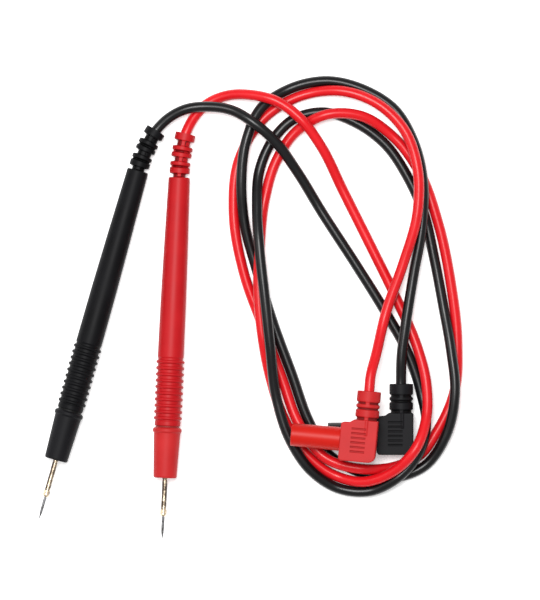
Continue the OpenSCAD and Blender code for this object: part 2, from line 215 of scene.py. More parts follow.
def new_group(name, inputs, outputs):
    """An empty shader node group with named sockets: inputs as (name, kind, value)."""
    group = bpy.data.node_groups.new(name, "ShaderNodeTree")
    for label, kind, value in inputs:
        socket = group.interface.new_socket(label, in_out="INPUT", socket_type=kind)
        socket.default_value = value
    for label, kind in outputs:
        group.interface.new_socket(label, in_out="OUTPUT", socket_type=kind)
    return group, group.nodes.new("NodeGroupInput"), group.nodes.new("NodeGroupOutput")


def math_node(tree, operation, *values, clamp=False):
    """A Math node whose inputs are numbers or sockets. Returns its result."""
    node = tree.nodes.new("ShaderNodeMath")
    node.operation = operation
    node.use_clamp = clamp
    for socket, value in zip(node.inputs, values):
        if isinstance(value, (int, float)):
            socket.default_value = value
        else:
            tree.links.new(value, socket)
    return node.outputs[0]


def noise(tree, place, scale, detail=2.0, roughness=0.5):
    """A Noise Texture read at a place. Returns its factor."""
    node = tree.nodes.new("ShaderNodeTexNoise")
    tree.links.new(place, node.inputs["Vector"])
    node.inputs["Detail"].default_value = detail
    node.inputs["Roughness"].default_value = roughness
    if isinstance(scale, (int, float)):
        node.inputs["Scale"].default_value = scale
    else:
        tree.links.new(scale, node.inputs["Scale"])
    return node.outputs[0]


def handled_group():
    """What handling does to any plastic: cloudy smudges, faint hairlines and lint.
    Puts out a mask for the colour, the roughness, and a height in metres."""
    group, given, result = new_group(
        "handled",
        [
            ("Roughness", "NodeSocketFloat", 0.4),
            ("Smudges", "NodeSocketFloat", 0.1),
            ("Grain", "NodeSocketFloat", 4000.0),
            ("Depth", "NodeSocketFloat", 0.00001),
        ],
        [
            ("Cloud", "NodeSocketFloat"),
            ("Roughness", "NodeSocketFloat"),
            ("Height", "NodeSocketFloat"),
        ],
    )
    place = group.nodes.new("ShaderNodeTexCoord").outputs["Object"]
    cloud = noise(group, place, 90.0, 4.0, 0.55)
    grain = noise(group, place, given.outputs["Grain"], 2.0, 0.6)
    stretched = group.nodes.new("ShaderNodeMapping")
    stretched.inputs["Rotation"].default_value = (0.3, 0.2, 0.9)
    stretched.inputs["Scale"].default_value = (1.0, 14.0, 1.0)
    group.links.new(place, stretched.inputs["Vector"])
    hairline = noise(group, stretched.outputs["Vector"], 260.0, 3.0, 0.7)
    scratched = math_node(
        group, "MULTIPLY", math_node(group, "SUBTRACT", hairline, 0.62, clamp=True), 2.0
    )
    swing = math_node(group, "MULTIPLY", math_node(group, "SUBTRACT", cloud, 0.5), 2.0)
    smudged = math_node(group, "MULTIPLY", swing, given.outputs["Smudges"])
    rough = math_node(group, "ADD", given.outputs["Roughness"], smudged)
    rough = math_node(group, "ADD", rough, math_node(group, "MULTIPLY", scratched, 0.3), clamp=True)
    height = math_node(group, "MULTIPLY", grain, given.outputs["Depth"])
    for name, value in (("Cloud", cloud), ("Roughness", rough), ("Height", height)):
        group.links.new(value, result.inputs[name])
    return group


handled = handled_group()


def shade_in_recesses_group():
    """Paints shade into a colour where the piece's own attribute for painted shade is high, as in a
    slot or groove.
    """
    group, given, result = new_group(
        "shade_in_recesses",
        [("Colour", "NodeSocketColor", (1, 1, 1, 1)), ("Shade", "NodeSocketFloat", 0.6)],
        [("Colour", "NodeSocketColor")],
    )
    # Painted shade: the mask of the slots and grooves, where the colour is darkened.
    recess_shade = group.nodes.new("ShaderNodeAttribute")
    recess_shade.attribute_name = "recess_shade"
    lost = math_node(group, "MULTIPLY", recess_shade.outputs["Fac"], given.outputs["Shade"])
    left = math_node(group, "SUBTRACT", 1.0, lost, clamp=True)
    darker = group.nodes.new("ShaderNodeVectorMath")
    darker.operation = "SCALE"
    group.links.new(given.outputs["Colour"], darker.inputs[0])
    group.links.new(left, darker.inputs["Scale"])
    group.links.new(darker.outputs["Vector"], result.inputs["Colour"])
    return group


shade_in_recesses = shade_in_recesses_group()


def plastic(name, colour, pale, roughness, smudges, grain, depth, specular=0.5, shade=0.0):
    """A moulded or extruded plastic: two close tones in clouds, and a fine grain. With a
    shade, painted shade darkens the colour where the piece's own shade attribute is high."""
    material = bpy.data.materials.new(name)
    material.use_nodes = True
    tree = material.node_tree
    shader = tree.nodes["Principled BSDF"]
    shader.inputs["Specular IOR Level"].default_value = specular
    wear = tree.nodes.new("ShaderNodeGroup")
    wear.node_tree = handled
    wear.inputs["Roughness"].default_value = roughness
    wear.inputs["Smudges"].default_value = smudges
    wear.inputs["Grain"].default_value = grain
    wear.inputs["Depth"].default_value = depth
    ramp = tree.nodes.new("ShaderNodeValToRGB")
    ramp.color_ramp.elements[0].position = 0.3
    ramp.color_ramp.elements[0].color = (*colour, 1)
    ramp.color_ramp.elements[1].position = 0.75
    ramp.color_ramp.elements[1].color = (*pale, 1)
    tree.links.new(wear.outputs["Cloud"], ramp.inputs["Fac"])
    tone = ramp.outputs["Color"]
    # Painted shade in the slots and grooves, from the piece's own attribute.
    if shade:
        slot_shade = tree.nodes.new("ShaderNodeGroup")
        slot_shade.node_tree = shade_in_recesses
        slot_shade.inputs["Shade"].default_value = shade
        tree.links.new(tone, slot_shade.inputs["Colour"])
        tone = slot_shade.outputs["Colour"]
    tree.links.new(tone, shader.inputs["Base Color"])
    tree.links.new(wear.outputs["Roughness"], shader.inputs["Roughness"])
    bump = tree.nodes.new("ShaderNodeBump")
    bump.inputs["Strength"].default_value = 0.6
    bump.inputs["Distance"].default_value = 1.0
    tree.links.new(wear.outputs["Height"], bump.inputs["Height"])
    tree.links.new(bump.outputs["Normal"], shader.inputs["Normal"])
    return material


def streaks_group():
    """The fine lengthwise streaks of an extruded jacket, from its UV map, which make the
    roughness a little uneven along narrow lines."""
    group, given, result = new_group(
        "streaks",
        [("Roughness", "NodeSocketFloat", 0.3), ("Swing", "NodeSocketFloat", 0.22)],
        [("Roughness", "NodeSocketFloat")],
    )
    along = group.nodes.new("ShaderNodeUVMap")
    along.uv_map = "along"
    stretch = group.nodes.new("ShaderNodeMapping")
    stretch.inputs["Scale"].default_value = (22.0, 45.0, 1.0)
    group.links.new(along.outputs["UV"], stretch.inputs["Vector"])
    lines = noise(group, stretch.outputs["Vector"], 1.0, 3.0, 0.6)
    streak_and_painted_reflection = math_node(group, "SUBTRACT", lines, 0.5)
    swing = math_node(group, "MULTIPLY", streak_and_painted_reflection, given.outputs["Swing"])
    rough = math_node(group, "ADD", given.outputs["Roughness"], swing, clamp=True)
    group.links.new(rough, result.inputs["Roughness"])
    return group


streaks = streaks_group()


def streaked(material):
    """Puts the streaks of an extruded jacket on a plastic."""
    tree = material.node_tree
    roughness = tree.nodes["Principled BSDF"].inputs["Roughness"]
    uneven = tree.nodes.new("ShaderNodeGroup")
    uneven.node_tree = streaks
    tree.links.new(roughness.links[0].from_socket, uneven.inputs["Roughness"])
    tree.links.new(uneven.outputs["Roughness"], roughness)
    return material


jacket_finish = {
    "black": plastic(
        "black_jacket",
        colour=(0.003, 0.003, 0.0035),
        pale=(0.0055, 0.0055, 0.0062),
        roughness=0.3,
        smudges=0.06,
        grain=900.0,
        depth=0.00001,
        specular=0.3,
    ),
    "red": plastic(
        "red_jacket",
        colour=(0.55, 0.005, 0.009),
        pale=(0.62, 0.008, 0.013),
        roughness=0.3,
        smudges=0.06,
        grain=900.0,
        depth=0.00001,
        specular=0.27,
    ),
}
for lead, route in cord_routes.items():
    line = smooth_route(route)
    cord = jacket(f"{lead}_jacket", line, cord_radius, cord_sides)
    cord.data.materials.append(streaked(jacket_finish[lead]))
    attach(cord, "leads")
    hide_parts(f"{lead}_cord")


# ---- Handles -----------------------------------------------------------------------
# The long grips, moulded in satin plastic and turned in shape. Ten round-topped ribs
# near the nose stop the fingers, and the grip tapers to the rear.
lathe_sides = 96
fillet_steps = 5
seat_radius = 3.05
handle_front = 20.0
handle_rear = 115.5
ribs_front = 21.9
rib_pitch = 2.4
rib_count = 10
rib_radius = 5.45
rib_root = 4.75


def rounded(corners):
    """An outline with its corners rounded: each is (radius, station, fillet), in mm.
    A point near each fillet's ends keeps the shading of the long faces even."""
    outline = []
    count = len(corners)
    for i, (radius, station, fillet) in enumerate(corners):
        here = Vector((radius, station))
        back = Vector(corners[i - 1][:2]) - here
        on = Vector(corners[(i + 1) % count][:2]) - here
        if fillet <= 0 or back.length < 1e-6 or on.length < 1e-6:
            outline.append(here)
            continue
        half = back.angle(on) / 2
        reach = min(fillet / math.tan(half), back.length * 0.45, on.length * 0.45)
        fillet = reach * math.tan(half)
        start, end = here + back.normalized() * reach, here + on.normalized() * reach
        middle = here + (back.normalized() + on.normalized()).normalized() * fillet / math.sin(half)
        if back.length > 4 * reach:
            outline.append(start + back.normalized() * reach * 0.4)
        a, b = start - middle, end - middle
        turn = a.angle_signed(b)
        for step in range(fillet_steps + 1):
            outline.append(middle + Matrix.Rotation(-turn * step / fillet_steps, 2) @ a)
        if on.length > 4 * reach:
            outline.append(end + on.normalized() * reach * 0.4)
    return outline


def turned(name, outline, place, sides=lathe_sides):
    """A solid of revolution about local +Z from a closed (radius, station) outline in mm,
    set in place by a matrix. A point on the axis is one vertex."""
    mesh = bmesh.new()
    rings = []
    for radius, station in outline:
        if radius < 1e-4:
            rings.append([mesh.verts.new((0, 0, station * MM))])
            continue
        rings.append(
            [
                mesh.verts.new(
                    (
                        radius * MM * math.cos(2 * math.pi * k / sides),
                        radius * MM * math.sin(2 * math.pi * k / sides),
                        station * MM,
                    )
                )
                for k in range(sides)
            ]
        )
    for ring, after in zip(rings, rings[1:] + rings[:1]):
        for k in range(sides):
            n = (k + 1) % sides
            if len(ring) == 1 and len(after) == 1:
                break
            if len(ring) == 1:
                mesh.faces.new((ring[0], after[k], after[n]))
            elif len(after) == 1:
                mesh.faces.new((ring[k], after[0], ring[n]))
            else:
                mesh.faces.new((ring[k], after[k], after[n], ring[n]))
    bmesh.ops.remove_doubles(mesh, verts=mesh.verts, dist=1e-7)
    bmesh.ops.recalc_face_normals(mesh, faces=mesh.faces)
    mesh.transform(place)
    made = bpy.data.meshes.new(name)
    mesh.to_mesh(made)
    mesh.free()
    made.shade_smooth()
    made.set_sharp_from_angle(angle=math.radians(40))
    piece = bpy.data.objects.new(name, made)
    scene.collection.objects.link(piece)
    return piece


def probe_place(lead):
    """Where a probe lies: local +Z runs along it from the nose's front face to the rear,
    and local +X is to its right. The chuck nut's joint gives its axis."""
    joint = next(j for j in frame["joints"] if j["name"] == f"{lead}_nut_turn")
    rearward = -Vector(joint["axis"]).normalized()
    right = Vector((rearward.y, -rearward.x, 0)).normalized()
    down = rearward.cross(right)
    nose = Vector(joint["pos_m"]) + rearward * 13.4 * MM
    place = Matrix((right, down, rearward)).transposed().to_4x4()
    place.translation = nose
    return place


probe_at = {lead: probe_place(lead) for lead in cord_routes}


def shape_tree(name, inputs):
    """An empty Geometry Nodes tree with named inputs, as (name, kind), after the mesh."""
    tree = bpy.data.node_groups.new(name, "GeometryNodeTree")
    tree.interface.new_socket("Geometry", in_out="INPUT", socket_type="NodeSocketGeometry")
    for label, kind in inputs:
        tree.interface.new_socket(label, in_out="INPUT", socket_type="NodeSocket" + kind)
    tree.interface.new_socket("Geometry", in_out="OUTPUT", socket_type="NodeSocketGeometry")
    return tree, tree.nodes.new("NodeGroupInput"), tree.nodes.new("NodeGroupOutput")


def placed(tree, kind, **values):
    """A node of a Geometry Nodes tree whose inputs are given as numbers or sockets."""
    node = tree.nodes.new(kind)
    for label, value in values.items():
        socket = node.inputs[label.replace("_", " ")]
        if isinstance(value, bpy.types.NodeSocket):
            tree.links.new(value, socket)
        else:
            socket.default_value = value
    return node


def vector_of(tree, x=0.0, y=0.0, z=0.0):
    """A vector whose parts are numbers or sockets."""
    return placed(tree, "ShaderNodeCombineXYZ", X=x, Y=y, Z=z).outputs["Vector"]


def finished_shape(tree, result, parts, finish):
    """Joins the parts, realizes what is repeated and gives it all one finish."""
    join = tree.nodes.new("GeometryNodeJoinGeometry")
    for part in parts:
        tree.links.new(part, join.inputs["Geometry"])
    real = placed(tree, "GeometryNodeRealizeInstances", Geometry=join.outputs["Geometry"])
    given = placed(
        tree, "GeometryNodeSetMaterial", Geometry=real.outputs["Geometry"], Material=finish
    )
    tree.links.new(given.outputs["Geometry"], result.inputs["Geometry"])


def grow(piece, tree, **settings):
    """Runs a tree on a piece with its inputs set, and keeps the plain mesh."""
    modifier = piece.modifiers.new(tree.name, "NODES")
    modifier.node_group = tree
    for socket in tree.interface.items_tree:
        key = socket.name.replace(" ", "_")
        if socket.in_out == "INPUT" and key in settings:
            modifier[socket.identifier] = settings[key]
    seen = piece.evaluated_get(bpy.context.evaluated_depsgraph_get())
    shape = bpy.data.meshes.new_from_object(seen)
    piece.modifiers.remove(modifier)
    piece.data = shape


def ribs_tree():
    """Round-topped rings one pitch apart along local +Z, round a grip."""
    tree, given, result = shape_tree(
        "ribs",
        [
            ("Count", "Int"),
            ("Pitch", "Float"),
            ("First", "Float"),
            ("Root Radius", "Float"),
            ("Height", "Float"),
            ("Half Width", "Float"),
            ("Sides", "Int"),
            ("Finish", "Material"),
        ],
    )
    give = given.outputs
    path = placed(
        tree,
        "GeometryNodeCurvePrimitiveCircle",
        Resolution=give["Sides"],
        Radius=give["Root Radius"],
    )
    round_bar = placed(tree, "GeometryNodeCurvePrimitiveCircle", Resolution=18, Radius=1.0)
    flattened = placed(
        tree,
        "GeometryNodeTransform",
        Geometry=round_bar.outputs["Curve"],
        Scale=vector_of(tree, give["Height"], give["Half Width"], 1.0),
    )
    rib = placed(
        tree,
        "GeometryNodeCurveToMesh",
        Curve=path.outputs["Curve"],
        Profile_Curve=flattened.outputs["Geometry"],
    )
    smooth = placed(tree, "GeometryNodeSetShadeSmooth", Geometry=rib.outputs["Mesh"])
    places = placed(
        tree,
        "GeometryNodeMeshLine",
        Count=give["Count"],
        Start_Location=vector_of(tree, z=give["First"]),
        Offset=vector_of(tree, z=give["Pitch"]),
    )
    repeated = placed(
        tree,
        "GeometryNodeInstanceOnPoints",
        Points=places.outputs["Mesh"],
        Instance=smooth.outputs["Geometry"],
    )
    finished_shape(tree, result, [give["Geometry"], repeated.outputs["Instances"]], give["Finish"])
    return tree


ribs = ribs_tree()
ribs_rear = ribs_front + rib_count * rib_pitch
handle_outline = rounded(
    [
        (seat_radius, handle_front, 0.1),
        (4.95, handle_front, 0.3),
        (4.95, ribs_front - 0.3, 0.15),
        (rib_root, ribs_front + 0.2, 0.2),
        (rib_root, ribs_rear, 0.2),
        (5.0, ribs_rear + 0.5, 0.6),
        (5.0, 50.0, 60.0),
        (4.9, 68.0, 90.0),
        (4.62, 88.0, 90.0),
        (4.1, handle_rear, 0.4),
        (seat_radius, handle_rear, 0.1),
    ]
)
grip_finish = {
    "black": plastic(
        "black_grip",
        colour=(0.0025, 0.0025, 0.003),
        pale=(0.005, 0.005, 0.006),
        roughness=0.5,
        smudges=0.07,
        grain=2600.0,
        depth=0.00002,
        specular=0.09,
        shade=0.6,
    ),
    "red": plastic(
        "red_grip",
        colour=(0.38, 0.004, 0.007),
        pale=(0.44, 0.007, 0.01),
        roughness=0.46,
        smudges=0.06,
        grain=2600.0,
        depth=0.00002,
        specular=0.18,
        shade=0.6,
    ),
}
for lead in cord_routes:
    handle = turned(f"{lead}_grip", handle_outline, Matrix.Identity(4))
    grow(
        handle,
        ribs,
        Count=rib_count,
        Pitch=rib_pitch * MM,
        First=(ribs_front + 1.05) * MM,
        Root_Radius=(rib_root - 0.12) * MM,
        Height=(rib_radius - rib_root + 0.12) * MM,
        Half_Width=0.72 * MM,
        Sides=lathe_sides,
        Finish=grip_finish[lead],
    )
    handle.data.transform(probe_at[lead])
    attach(handle, "leads")
    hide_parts(f"{lead}_handle")


# ---- Strain reliefs ----------------------------------------------------------------
# The slotted sleeves behind the grips, moulded round the cord in the grip's plastic.
# Slots on two sides and slots on the other two take turns, so the sleeve bends both ways.
relief_length = 17.0
relief_ring = 3.9
relief_core = 2.4
relief_bore = 2.3
relief_bend = {"black": 57.0, "red": 85.0}
relief_rings = [(1.5, 3.7), (4.5, 6.1), (7.8, 9.6), (10.4, 12.0), (14.2, relief_length)]
upright_gaps = [(0.0, 1.5), (6.1, 7.8), (12.0, 14.2)]
sideways_gaps = [(3.7, 4.5), (9.6, 10.4)]
relief_bridge = 3.6
bridge_half = 0.95
# Radius below which the slots get painted shade, and how far it takes to deepen fully, in mm.
slot_top, slot_depth = 3.1, 0.5


def blurred(field, reach, axis, wrap):
    """A field smoothed along one axis by a bell of that reach, in samples."""
    width = int(math.ceil(reach * 3))
    bell = np.exp(-0.5 * (np.arange(-width, width + 1) / reach) ** 2)
    bell /= bell.sum()
    padding = [(0, 0), (0, 0)]
    padding[axis] = (width, width)
    wide = np.pad(field, padding, mode="wrap" if wrap else "edge")
    return np.apply_along_axis(lambda row: np.convolve(row, bell, "valid"), axis, wide)


def slotted(stations, angles, core, rings, upright, sideways, ring_radius, bridge_radius):
    """The radius of a slotted sleeve at each station and angle, in mm, edges softened.
    Upright bridges are at the top and bottom, sideways ones to the left and right."""
    s, a = np.meshgrid(stations, angles, indexing="ij")
    radius = np.full(s.shape, core)
    for start, end in rings:
        radius[(s >= start) & (s <= end)] = ring_radius
    for gaps, across, reach in (
        (upright, np.cos(a), bridge_radius),
        (sideways, np.sin(a), ring_radius - 0.6),
    ):
        for start, end in gaps:
            inside = (s > start) & (s < end) & (np.abs(across) * ring_radius < bridge_half)
            radius[inside] = reach
    step = stations[1] - stations[0]
    radius = blurred(radius, 0.13 / step, 0, False)
    return blurred(radius, 0.1 / (ring_radius * (angles[1] - angles[0])), 1, True)


def sleeve_mesh(radius, stations, angles, bore, carry):
    """A closed sleeve from a grid of radii, with a bore, whose points carry places."""
    mesh = bmesh.new()
    outer = [
        [mesh.verts.new(carry(s, a, radius[i, j])) for j, a in enumerate(angles)]
        for i, s in enumerate(stations)
    ]
    ends = (stations[0], stations[-1])
    inner = [[mesh.verts.new(carry(s, a, bore)) for a in angles] for s in ends]
    loops = [inner[0], *outer, inner[1]]
    for ring, after in zip(loops, loops[1:] + loops[:1]):
        for k in range(len(angles)):
            n = (k + 1) % len(angles)
            mesh.faces.new((ring[k], after[k], after[n], ring[n]))
    bmesh.ops.recalc_face_normals(mesh, faces=mesh.faces)
    return mesh


relief_stations = np.arange(0, relief_length + 0.05, 0.1)
relief_angles = np.arange(144) * 2 * math.pi / 144
relief_radius = slotted(
    relief_stations,
    relief_angles,
    relief_core,
    relief_rings,
    upright_gaps,
    sideways_gaps,
    relief_ring,
    relief_bridge,
)
for lead in cord_routes:
    bend = relief_bend[lead]

    def bent(station, angle, radius):
        across, height = radius * math.cos(angle), radius * math.sin(angle)
        turn = station / bend
        return Vector(
            (
                bend - (bend - across) * math.cos(turn),
                height,
                handle_rear + (bend - across) * math.sin(turn),
            )
        ) * MM

    relief = bpy.data.meshes.new(f"{lead}_relief")
    sleeve = sleeve_mesh(relief_radius, relief_stations, relief_angles, relief_bore, bent)
    sleeve.transform(probe_at[lead])
    sleeve.to_mesh(relief)
    sleeve.free()
    # Painted shade: the slot floors get an attribute that darkens their colour, standing in for the
    # shade inside them.
    recess_shade = relief.attributes.new("recess_shade", "FLOAT", "POINT")
    depths = np.clip((slot_top - relief_radius.ravel()) / slot_depth, 0, 1)
    recess_shade.data.foreach_set("value", np.append(depths, np.zeros(2 * len(relief_angles))))
    relief.shade_smooth()
    relief.set_sharp_from_angle(angle=math.radians(60))
    relief.materials.append(grip_finish[lead])
    relief = bpy.data.objects.new(f"{lead}_relief", relief)
    scene.collection.objects.link(relief)
    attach(relief, "leads")
    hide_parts(f"{lead}_strain_relief")


# ---- Nose caps ---------------------------------------------------------------------
# The plain tapered caps, moulded in a softer, matt compound. Each is pushed on the tip
# holder and pulls off forwards over the metal tip.
cap_outline = rounded(
    [
        (1.25, 0.0, 0.15),
        (4.45, 0.0, 0.7),
        (5.1, 17.3, 0.5),
        (5.55, 17.8, 0.3),
        (5.55, 18.8, 0.35),
        (4.9, 19.4, 0.2),
        (seat_radius, 19.4, 0.1),
        (seat_radius, 3.2, 0.1),
        (1.25, 3.2, 0.1),
    ]
)
rubber_finish = {
    "black": plastic(
        "black_rubber",
        colour=(0.004, 0.004, 0.005),
        pale=(0.0075, 0.0075, 0.009),
        roughness=0.55,
        smudges=0.08,
        grain=3200.0,
        depth=0.00003,
        specular=0.12,
        shade=0.65,
    ),
    "red": plastic(
        "red_rubber",
        colour=(0.4, 0.012, 0.013),
        pale=(0.48, 0.018, 0.019),
        roughness=0.52,
        smudges=0.06,
        grain=3200.0,
        depth=0.00003,
        specular=0.18,
        shade=0.65,
    ),
}
for lead in cord_routes:
    cap = turned(f"{lead}_cap_shell", cap_outline, probe_at[lead])
    cap.data.materials.append(rubber_finish[lead])
    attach(cap, f"{lead}_cap")
    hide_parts(f"{lead}_nose_cap")


# ---- Tip holders -------------------------------------------------------------------
# The nylon bushes that hold the brass rods on the axis, dyed near their lead's colour.
# A thin flange shows in the seam, and the nose cap grips the front spigot. The packed
# solids are shown as they are.
nylon = {
    "black": plastic(
        "black_nylon",
        colour=(0.004, 0.004, 0.004),
        pale=(0.007, 0.007, 0.007),
        roughness=0.5,
        smudges=0.05,
        grain=1500.0,
        depth=0.00001,
        specular=0.15,
    ),
    "red": plastic(
        "red_nylon",
        colour=(0.24, 0.02, 0.018),
        pale=(0.3, 0.026, 0.022),
        roughness=0.5,
        smudges=0.05,
        grain=1500.0,
        depth=0.00001,
        specular=0.15,
    ),
}
for lead in cord_routes:
    holder = nodes[f"{lead}_tip_holder"].data
    holder.materials.clear()
    holder.materials.append(nylon[lead])


# ---- Rods, chuck nuts and needles --------------------------------------------------
# A gold plated brass rod ends in a slit collet. A small knurled nut closes the collet
# on a steel needle, so that a blunt needle can be changed.


def metal_group():
    """Fine turning or grinding marks round a piece, and dull patches. Puts out a mask
    for the colour, the roughness, and a height in metres."""
    group, given, result = new_group(
        "worked_metal",
        [
            ("Roughness", "NodeSocketFloat", 0.25),
            ("Marks", "NodeSocketFloat", 0.1),
            ("Depth", "NodeSocketFloat", 0.000004),
        ],
        [
            ("Tarnish", "NodeSocketFloat"),
            ("Roughness", "NodeSocketFloat"),
            ("Height", "NodeSocketFloat"),
        ],
    )
    place = group.nodes.new("ShaderNodeTexCoord").outputs["Object"]
    stretched = group.nodes.new("ShaderNodeMapping")
    stretched.inputs["Scale"].default_value = (0.15, 1.0, 0.15)
    group.links.new(place, stretched.inputs["Vector"])
    marks = noise(group, stretched.outputs["Vector"], 6000.0, 3.0, 0.6)
    patches = noise(group, place, 500.0, 4.0, 0.6)
    tarnish = math_node(
        group, "MULTIPLY", math_node(group, "SUBTRACT", patches, 0.42, clamp=True), 4.0, clamp=True
    )
    rough = math_node(
        group, "ADD", given.outputs["Roughness"], math_node(group, "MULTIPLY", tarnish, 0.25)
    )
    uneven = math_node(group, "SUBTRACT", marks, 0.5)
    swing = math_node(group, "MULTIPLY", uneven, given.outputs["Marks"])
    rough = math_node(group, "ADD", rough, swing, clamp=True)
    height = math_node(group, "MULTIPLY", marks, given.outputs["Depth"])
    for name, value in (("Tarnish", tarnish), ("Roughness", rough), ("Height", height)):
        group.links.new(value, result.inputs[name])
    return group


worked_metal = metal_group()


def metal(name, bright, dull, roughness, marks=0.12, depth=0.000004):
    """A bright metal that dulls in patches of tarnish, and is painted darker where its own
    attribute for painted dark reflections is high.
    """
    material = bpy.data.materials.new(name)
    material.use_nodes = True
    tree = material.node_tree
    shader = tree.nodes["Principled BSDF"]
    shader.inputs["Metallic"].default_value = 1.0
    wear = tree.nodes.new("ShaderNodeGroup")
    wear.node_tree = worked_metal
    wear.inputs["Roughness"].default_value = roughness
    wear.inputs["Marks"].default_value = marks
    wear.inputs["Depth"].default_value = depth
    ramp = tree.nodes.new("ShaderNodeValToRGB")
    ramp.color_ramp.elements[0].color = (*bright, 1)
    ramp.color_ramp.elements[1].color = (*dull, 1)
    # Painted reflections: the rods' own attribute darkens the colour in bands along them.
    streak_and_painted_reflection = tree.nodes.new("ShaderNodeAttribute")
    streak_and_painted_reflection.attribute_name = "streak_and_painted_reflection"
    tarnish_and_painted_reflection = math_node(tree, "ADD", wear.outputs["Tarnish"], streak_and_painted_reflection.outputs["Fac"], clamp=True)
    tree.links.new(tarnish_and_painted_reflection, ramp.inputs["Fac"])
    tree.links.new(ramp.outputs["Color"], shader.inputs["Base Color"])
    tree.links.new(wear.outputs["Roughness"], shader.inputs["Roughness"])
    bump = tree.nodes.new("ShaderNodeBump")
    bump.inputs["Strength"].default_value = 0.5
    bump.inputs["Distance"].default_value = 1.0
    tree.links.new(wear.outputs["Height"], bump.inputs["Height"])
    tree.links.new(bump.outputs["Normal"], shader.inputs["Normal"])
    return material


# The dull colour is both the tarnish and the painted dark reflections.
gold_plate = metal("gold_plate", (0.8, 0.66, 0.48), (0.075, 0.055, 0.042), 0.24)
needle_steel = metal("needle_steel", (0.17, 0.17, 0.175), (0.06, 0.058, 0.055), 0.34)

rod_outline = rounded(
    [
        (0.0, -5.8, 0),
        (0.33, -5.8, 0),
        (0.33, -14.0, 0.05),
        (0.8, -14.0, 0.12),
        (0.8, -12.0, 0.04),
        (1.0, -12.0, 0.15),
        (1.0, -1.2, 0.05),
        (0.9, -1.0, 0.05),
        (0.9, -0.6, 0.05),
        (1.0, -0.4, 0.05),
        (1.0, 46.0, 0.05),
        (1.7, 46.0, 0.2),
        (1.7, 58.0, 0.15),
        (1.15, 58.0, 0.1),
        (1.15, 50.0, 0),
        (0.0, 50.0, 0),
    ]
)
needle_outline = rounded(
    [
        (0.0, -23.3, 0),
        (0.1, -23.2, 0.05),
        (0.46, -20.8, 2.0),
        (0.5, -19.7, 1.0),
        (0.5, -14.9, 0.02),
        (0.3, -14.9, 0.02),
        (0.3, -6.2, 0),
        (0.0, -6.2, 0),
    ]
)
nut_front, nut_rear, nut_radius, nut_flutes = -14.7, -12.05, 1.15, 22


def flutes_tree():
    """Fine ridges round a nut, each a thin bar along its axis."""
    tree, given, result = shape_tree(
        "flutes",
        [
            ("Count", "Int"),
            ("Radius", "Float"),
            ("Half Width", "Float"),
            ("Length", "Float"),
            ("Middle", "Float"),
            ("Finish", "Material"),
        ],
    )
    give = given.outputs
    places = placed(tree, "GeometryNodeMeshCircle", Vertices=give["Count"], Radius=give["Radius"])
    bar = placed(
        tree,
        "GeometryNodeMeshCylinder",
        Vertices=8,
        Radius=give["Half Width"],
        Depth=give["Length"],
    )
    repeated = placed(
        tree,
        "GeometryNodeInstanceOnPoints",
        Points=places.outputs["Mesh"],
        Instance=bar.outputs["Mesh"],
    )
    moved = placed(
        tree,
        "GeometryNodeTransform",
        Geometry=repeated.outputs["Instances"],
        Translation=vector_of(tree, z=give["Middle"]),
    )
    finished_shape(tree, result, [give["Geometry"], moved.outputs["Geometry"]], give["Finish"])
    return tree


flutes = flutes_tree()
nut_outline = rounded(
    [
        (0.35, nut_front, 0.05),
        (0.78, nut_front, 0.1),
        (nut_radius, nut_front + 0.7, 0.15),
        (nut_radius, nut_rear, 0.12),
        (0.85, nut_rear, 0.05),
        (0.85, -14.1, 0.05),
        (0.35, -14.1, 0.05),
    ]
)
# Painted dark reflections: bands along each rod at fixed angles round it, as (angle in degrees,
# width in degrees, depth).
rod_painted_reflections = ((224, 32, 1.0), (322, 14, 0.8), (20, 20, 0.6), (120, 30, 0.8))


def painted_reflection_at(point):
    """How dark the painted reflections are at a point of a rod: each dark band along the rod is
    (angle, width, depth).
    """
    angle = math.degrees(math.atan2(point.y, point.x))
    apart = [((angle - middle + 180) % 360 - 180) / width for middle, width, depth in rod_painted_reflections]
    return sum(s[2] * math.exp(-(a**2)) for s, a in zip(rod_painted_reflections, apart))


for lead in cord_routes:
    rod = turned(f"{lead}_rod", rod_outline, Matrix.Identity(4), 48)
    # Painted dark reflections on the rod, as an attribute.
    streak_and_painted_reflection = rod.data.attributes.new("streak_and_painted_reflection", "FLOAT", "POINT")
    streak_and_painted_reflection.data.foreach_set("value", [painted_reflection_at(v.co) for v in rod.data.vertices])
    rod.data.transform(probe_at[lead])
    rod.data.materials.append(gold_plate)
    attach(rod, "leads")
    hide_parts(f"{lead}_probe_rod")

    nut = turned(f"{lead}_nut_body", nut_outline, Matrix.Identity(4), 48)
    grow(
        nut,
        flutes,
        Count=nut_flutes,
        Radius=(nut_radius - 0.02) * MM,
        Half_Width=0.07 * MM,
        Length=(nut_rear - nut_front - 1.0) * MM,
        Middle=((nut_rear + nut_front + 0.7) / 2) * MM,
        Finish=gold_plate,
    )
    nut.data.transform(probe_at[lead])
    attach(nut, f"{lead}_nut")
    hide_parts(f"{lead}_chuck_nut")

    needle = turned(f"{lead}_point", needle_outline, probe_at[lead], 40)
    needle.data.materials.append(needle_steel)
    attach(needle, f"{lead}_tip")
    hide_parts(f"{lead}_needle")


